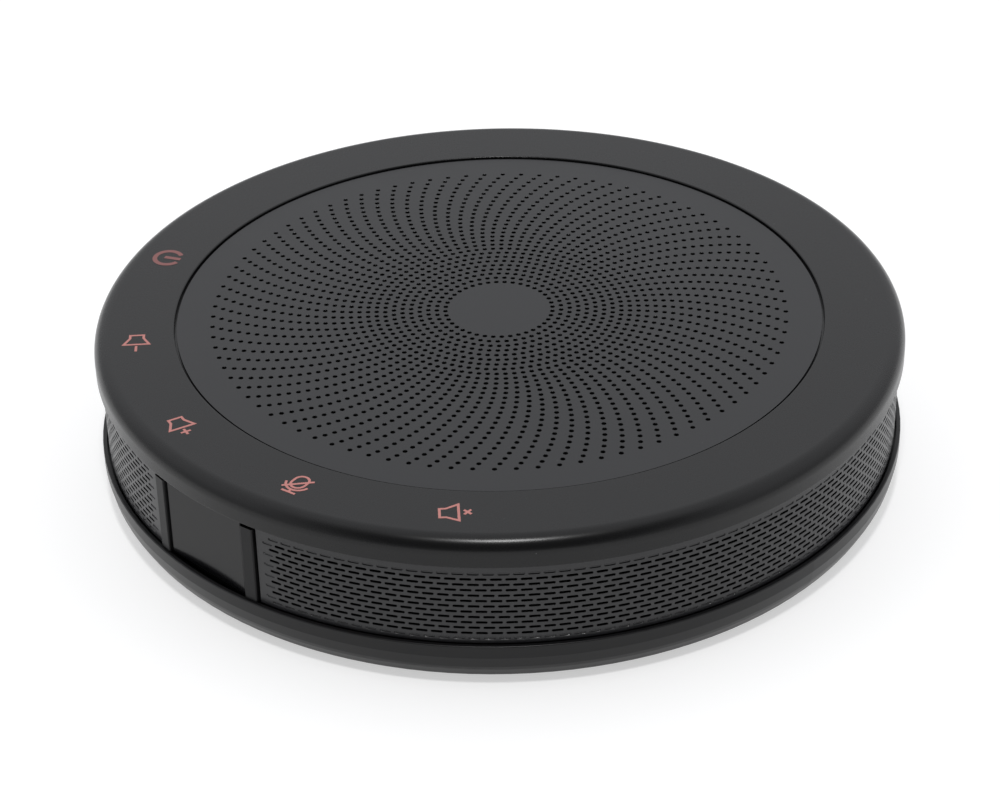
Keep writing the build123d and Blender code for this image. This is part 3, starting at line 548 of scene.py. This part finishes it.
def make_usb_receptacle():
    """A round-ended metal shell, open towards the rear panel, with a flat tongue in its mouth."""
    low, high = lowest_highest("usb_port")
    x, z = (low[0] + high[0]) / 2, (low[2] + high[2]) / 2
    outer = slot_hole(x, z, high[0] - low[0], high[2] - low[2], 9)
    floor_y = low[1] + USB_BACK
    inner = outer(USB_WALL)
    loops = [(outer(), low[1]), (outer(), high[1]), (inner, high[1]), (inner, floor_y)]
    count = len(outer())
    points = [(u, y, v) for loop, y in loops for u, v in loop]
    faces = []
    for ring in range(len(loops) - 1):
        for i in range(count):
            after = (i + 1) % count
            here, there = ring * count, (ring + 1) * count
            faces.append((here + i, here + after, there + after, there + i))
    faces.append(tuple(range(count)))
    faces.append(tuple(range(3 * count, 4 * count)))
    wide, deep, tall = USB_TONGUE
    base = len(points)
    for y in (floor_y - USB_BACK / 2, floor_y + deep):
        points += [(x + side * wide / 2, y, z + rise * tall / 2) for side, rise in
                   ((-1, -1), (1, -1), (1, 1), (-1, 1))]
    faces += [(base, base + 1, base + 2, base + 3), (base + 4, base + 5, base + 6, base + 7)]
    for i in range(4):
        after = (i + 1) % 4
        faces.append((base + i, base + after, base + 4 + after, base + 4 + i))
    mesh = make_mesh("usb_receptacle", points, faces)
    for face in mesh.polygons:
        face.material_index = int(min(face.vertices) >= base)
    facing_out(mesh)
    soften(mesh)
    return add_piece("usb_receptacle", mesh, [socket_nickel, hole_shade_and_black_plastic], "usb_port")


# ---- Touch symbols ---------------------------------------------------------------------------

ICON_PITCH_RADII = [89.2, 89.5, 90.1, 89.0, 88.9]
ICON_ANGLES = [205.8, 233.0, 258.8, 283.1, 307.6]
ICON_TURNS = [0, -5.7, -5.5, -3.6, 9.0]
ICON_RISE = 0.03
ICON_STACK = 0.0005
STROKE = 0.62
MITRE_LIMIT = 0.35


def bar(x0, y0, x1, y1, width=STROKE):
    """A straight stroke as a four-cornered loop."""
    along = Vector((x1 - x0, y1 - y0)).normalized() * width / 2
    across = Vector((-along.y, along.x))
    a = Vector((x0, y0))
    b = Vector((x1, y1))
    return [tuple(a - across), tuple(b - across), tuple(b + across), tuple(a + across)]


def strip(path, width=STROKE, closed=False):
    """A stroke that follows a path of points with mitred joints, as quads."""
    count = len(path)
    left = []
    right = []
    for index in range(count):
        here = Vector(path[index])
        before = Vector(path[index - 1]) if index or closed else None
        after = Vector(path[(index + 1) % count]) if index < count - 1 or closed else None
        into = (here - before).normalized() if before is not None else (after - here).normalized()
        out = (after - here).normalized() if after is not None else into
        normal_in = Vector((-into.y, into.x))
        normal_out = Vector((-out.y, out.x))
        middle = (normal_in + normal_out).normalized()
        reach_out = width / 2 / max(MITRE_LIMIT, middle.dot(normal_in))
        left.append(here + middle * reach_out)
        right.append(here - middle * reach_out)
    quads = []
    for index in range(count if closed else count - 1):
        after = (index + 1) % count
        corners = (right[index], right[after], left[after], left[index])
        quads.append([tuple(corner) for corner in corners])
    return quads


def arc_path(x, y, radius, start, end, steps=24):
    angles = [radians(start + (end - start) * i / steps) for i in range(steps + 1)]
    return [(x + radius * cos(a), y + radius * sin(a)) for a in angles]


def horn():
    """The outline of a loudspeaker: a short neck that flares to the right."""
    lower = [(-3.65, -1.65), (-2.2, -1.65), (0.6, -3.1)]
    upper = [(x, -y) for x, y in reversed(lower)]
    return strip(lower + upper, STROKE, closed=True)


def icon_shapes():
    """The five symbols as lists of quads in their own plane, up towards the centre of the cap."""
    mark_x = 2.6
    minus = [bar(mark_x - 1.25, 0, mark_x + 1.25, 0)]
    plus = minus + [bar(mark_x, -1.25, mark_x, 1.25)]
    cross = [bar(mark_x - 0.8, -rise, mark_x + 0.8, rise) for rise in (0.85, -0.85)]
    power = strip(arc_path(0, 0, 3.4, 125, 423, 40), 1.2) + [bar(-0.1, -0.95, -0.1, 3.4, 1.2)]
    capsule = arc_path(0, 1.7, 1.8, 0, 180, 14) + arc_path(0, 0.6, 1.8, 180, 360, 14)
    mic = strip(capsule, 0.6, closed=True) + strip(arc_path(0, 0.9, 3.05, 195, 345, 20), 0.6)
    mic += [bar(0, -2.1, 0, -3.1), bar(-1.9, -3.2, 1.9, -3.2), bar(-2.8, -2.0, 2.8, 2.9)]
    return [
        ("power_symbol", power, icon_dim),
        ("volume_down_symbol", horn() + minus, icon_print),
        ("volume_up_symbol", horn() + plus, icon_print),
        ("microphone_mute_symbol", mic, icon_print),
        ("loudspeaker_mute_symbol", horn() + cross, icon_print),
    ]


def make_icons():
    places = zip(icon_shapes(), ICON_PITCH_RADII, ICON_ANGLES, ICON_TURNS)
    for shape, pitch_r, angle, turn in places:
        name, quads, material = shape
        outward = Vector((cos(radians(angle)), sin(radians(angle))))
        up = Matrix.Rotation(radians(turn), 2) @ -outward
        right = Vector((up.y, -up.x))
        points = []
        faces = []
        for number, quad in enumerate(quads):
            base = len(points)
            rise = CAP_TOP + ICON_RISE + ICON_STACK * number
            for level in (CAP_TOP, rise):
                for x, y in quad:
                    spot = outward * pitch_r + up * y + right * x
                    points.append((spot.x, spot.y, level))
            faces.append((base + 4, base + 5, base + 6, base + 7))
            for side in range(4):
                after = (side + 1) % 4
                faces.append((base + side, base + after, base + 4 + after, base + 4 + side))
        mesh = make_mesh(name, points, faces)
        add_piece(name, mesh, [material], None)


make_cap()
make_plate()
make_band("side_band_right", "side_grille_right", 1)
make_band("side_band_left", "side_grille_left", -1)
make_usb_receptacle()
make_icons()

solder_mask = finish("solder_mask", (0.008, 0.045, 0.02), 0.32, grain=0.5, bump=0.004, ior=1.5)
chip_epoxy = finish("chip_epoxy", (0.012, 0.012, 0.013), 0.55, grain=0.12, bump=0.006)
tinned_steel = finish("tinned_steel", (0.55, 0.55, 0.53), 0.34, grain=0.4, bump=0.003, metallic=1.0)
screw_steel = finish("screw_steel", (0.32, 0.32, 0.33), 0.38, grain=0.2, bump=0.004, metallic=1.0)
plated_steel = finish("plated_steel", (0.48, 0.48, 0.46), 0.30, grain=0.3, bump=0.004, metallic=1.0)
ferrite = finish("ferrite", (0.02, 0.019, 0.018), 0.62, grain=0.15, bump=0.015)
copper_wire = finish("copper_wire", (0.62, 0.22, 0.09), 0.34, grain=0.1, bump=0.006, metallic=1.0)
basket_paint = finish("basket_paint", (0.012, 0.012, 0.012), 0.45, grain=0.25, bump=0.012)
paper_pulp = finish("paper_pulp", (0.022, 0.021, 0.020), 0.88, grain=0.45, bump=0.05, mottle=0.3)
roll_rubber = finish("roll_rubber", (0.010, 0.010, 0.010), 0.62, grain=0.3, bump=0.01)
spider_cloth = finish("spider_cloth", (0.33, 0.17, 0.05), 0.85, grain=0.2, bump=0.08, weave=0.5)
former_film = finish("former_film", (0.30, 0.12, 0.03), 0.25, grain=0.3, bump=0.003)
capacitor_sleeve = finish("capacitor_sleeve", (0.012, 0.014, 0.03), 0.28, grain=0.3, bump=0.003)
connector_nylon = finish("connector_nylon", (0.62, 0.60, 0.52), 0.42, grain=0.3, bump=0.006)
flex_film = finish("flex_film", (0.42, 0.16, 0.03), 0.30, grain=0.3, bump=0.003)
lead_sleeve = finish("lead_sleeve", (0.25, 0.012, 0.010), 0.40, grain=0.25, bump=0.006)
gasket_foam = finish("gasket_foam", (0.018, 0.018, 0.018), 0.92, grain=0.5, bump=0.06)
diffuser_milk = finish("diffuser_milk", (0.66, 0.64, 0.62), 0.45, grain=0.3, bump=0.004)
lamp_resin = finish("lamp_resin", (0.75, 0.72, 0.45), 0.30, grain=0.3, bump=0.003)
inner_plastic = finish("inner_plastic", (0.012, 0.012, 0.013), 0.48, grain=0.3, bump=0.012)

NODE_FINISHES = {
    frame_plastic: ["middle_frame"],
    base_plastic: ["base_cover"],
    badge_gloss: ["badge_panel"],
    panel_plastic: ["socket_panel"],
    cloth_finish: ["speaker_cloth", "side_cloth_right", "side_cloth_left"],
    rubber: ["rubber_foot_1", "rubber_foot_2", "rubber_foot_3", "rubber_foot_4"],
    inner_plastic: ["chassis", "speaker_box", "board_header", "terminal_tag"],
    solder_mask: ["main_board", "touch_board", "socket_board", "mic_boards"],
    chip_epoxy: ["processor_chip", "amplifier_chip", "power_coils"],
    tinned_steel: ["shield_can", "mic_capsules"],
    screw_steel: ["case_screws", "cap_screws", "box_screws", "driver_screws", "board_screws",
                  "socket_board_screws"],
    plated_steel: ["magnet_yoke", "pole_plate"],
    ferrite: ["magnet"],
    copper_wire: ["voice_coil"],
    former_film: ["coil_former"],
    basket_paint: ["driver_basket"],
    paper_pulp: ["cone", "dust_cap"],
    roll_rubber: ["surround", "lead_grommet", "mic_boots"],
    spider_cloth: ["spider"],
    capacitor_sleeve: ["power_capacitors"],
    connector_nylon: ["ribbon_socket", "lead_socket"],
    flex_film: ["touch_ribbon"],
    lead_sleeve: ["speaker_lead"],
    gasket_foam: ["box_gasket", "driver_gasket"],
    diffuser_milk: ["icon_diffusers"],
    lamp_resin: ["icon_lamps"],
    hole_shade_and_black_plastic: ["audio_jack"],
}
for material, names in NODE_FINISHES.items():
    for name in names:
        for material_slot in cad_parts[name].material_slots:
            material_slot.material = material


# ---- Floor, light and camera -----------------------------------------------------------------

FLOOR_GLOW = 0.52
FLOOR_HALF = 6.0
LAMP_PLACE = (0.383, -0.391, 1.504)
LAMP_SIZE = (0.16, 0.16)
LAMP_POWER = 10
LOOK_AT = (0, 0, 0.02)


def make_floor():
    mesh = bpy.data.meshes.new("floor")
    signs = ((-1, -1), (1, -1), (1, 1), (-1, 1))
    corners = [(x * FLOOR_HALF, y * FLOOR_HALF, 0) for x, y in signs]
    mesh.from_pydata(corners, [], [(0, 1, 2, 3)])
    obj = bpy.data.objects.new("floor", mesh)
    bpy.context.scene.collection.objects.link(obj)
    paper = finish("floor_paper", (0.55, 0.55, 0.55), 0.9, grain=2.0, bump=0.01, mottle=0.01)
    shader = paper.node_tree.nodes["Principled BSDF"]
    shader.inputs["Emission Color"].default_value = (1, 1, 1, 1)
    shader.inputs["Emission Strength"].default_value = FLOOR_GLOW
    mesh.materials.append(paper)


def look(obj, towards):
    obj.rotation_euler = (Vector(towards) - obj.location).to_track_quat("-Z", "Y").to_euler()


def make_light(name, place, size, power):
    data = bpy.data.lights.new(name, "AREA")
    data.shape = "RECTANGLE"
    data.size, data.size_y = size
    data.energy = power
    obj = bpy.data.objects.new(name, data)
    bpy.context.scene.collection.objects.link(obj)
    obj.location = place
    look(obj, LOOK_AT)


SKY_BRIGHT = (1.06, 1.07, 1.10, 1)
SKY_DARK = (0.10, 0.10, 0.10, 1)
DARK_HEADING = 314.0
DARK_RISE = 44.0
DARK_EDGES = (58.0, 30.0)
LOW_SKY = 0.62
LOW_SKY_RISES = (8.0, 42.0)


def make_world():
    """A white surround, dimmer towards the horizon, with one darker patch on the front side."""
    world = bpy.data.worlds.new("studio")
    bpy.context.scene.world = world
    world.use_nodes = True
    nodes = world.node_tree.nodes
    link = world.node_tree.links.new
    where = nodes.new("ShaderNodeTexCoord")
    facing = nodes.new("ShaderNodeVectorMath")
    facing.operation = "DOT_PRODUCT"
    heading, rise = radians(DARK_HEADING), radians(DARK_RISE)
    facing.inputs[1].default_value = (cos(heading) * cos(rise), sin(heading) * cos(rise), sin(rise))
    link(where.outputs["Generated"], facing.inputs[0])
    edge = nodes.new("ShaderNodeMapRange")
    edge.interpolation_type = "SMOOTHSTEP"
    edge.inputs["From Min"].default_value = cos(radians(DARK_EDGES[0]))
    edge.inputs["From Max"].default_value = cos(radians(DARK_EDGES[1]))
    link(facing.outputs["Value"], edge.inputs["Value"])
    shade = nodes.new("ShaderNodeMix")
    shade.data_type = "RGBA"
    height = nodes.new("ShaderNodeSeparateXYZ")
    link(where.outputs["Generated"], height.inputs[0])
    rising = nodes.new("ShaderNodeMapRange")
    rising.interpolation_type = "SMOOTHSTEP"
    rising.inputs["From Min"].default_value = sin(radians(LOW_SKY_RISES[0]))
    rising.inputs["From Max"].default_value = sin(radians(LOW_SKY_RISES[1]))
    link(height.outputs["Z"], rising.inputs["Value"])
    surround = nodes.new("ShaderNodeMix")
    surround.data_type = "RGBA"
    surround.inputs[6].default_value = (*[value * LOW_SKY for value in SKY_BRIGHT[:3]], 1)
    surround.inputs[7].default_value = SKY_BRIGHT
    link(rising.outputs["Result"], surround.inputs[0])
    link(surround.outputs[2], shade.inputs[6])
    shade.inputs[7].default_value = SKY_DARK
    link(edge.outputs["Result"], shade.inputs[0])
    link(shade.outputs[2], nodes["Background"].inputs["Color"])


CAMERA_PLACE = Vector((0.4075, -0.4165, 0.3862))
CAMERA_TURN = 134.4
CAMERA_DIP = 32.649
CAMERA_ROLL = -1.289
CAMERA_LENS = 98.43


def make_camera():
    turn, dip, roll = radians(CAMERA_TURN), radians(CAMERA_DIP), radians(CAMERA_ROLL)
    forward = Vector((cos(turn) * cos(dip), sin(turn) * cos(dip), -sin(dip)))
    level_right = Vector((sin(turn), -cos(turn), 0))
    level_down = forward.cross(level_right)
    right = level_right * cos(roll) - level_down * sin(roll)
    down = level_right * sin(roll) + level_down * cos(roll)
    data = bpy.data.cameras.new("camera")
    data.sensor_width = 36.0
    data.lens = CAMERA_LENS
    camera = bpy.data.objects.new("camera", data)
    bpy.context.scene.collection.objects.link(camera)
    placed = Matrix((right, -down, -forward)).transposed().to_4x4()
    placed.translation = CAMERA_PLACE
    camera.matrix_world = placed
    bpy.context.scene.camera = camera


make_floor()
make_world()
make_light("overhead", LAMP_PLACE, LAMP_SIZE, LAMP_POWER)
make_camera()
bpy.context.scene.view_settings.view_transform = "Standard"
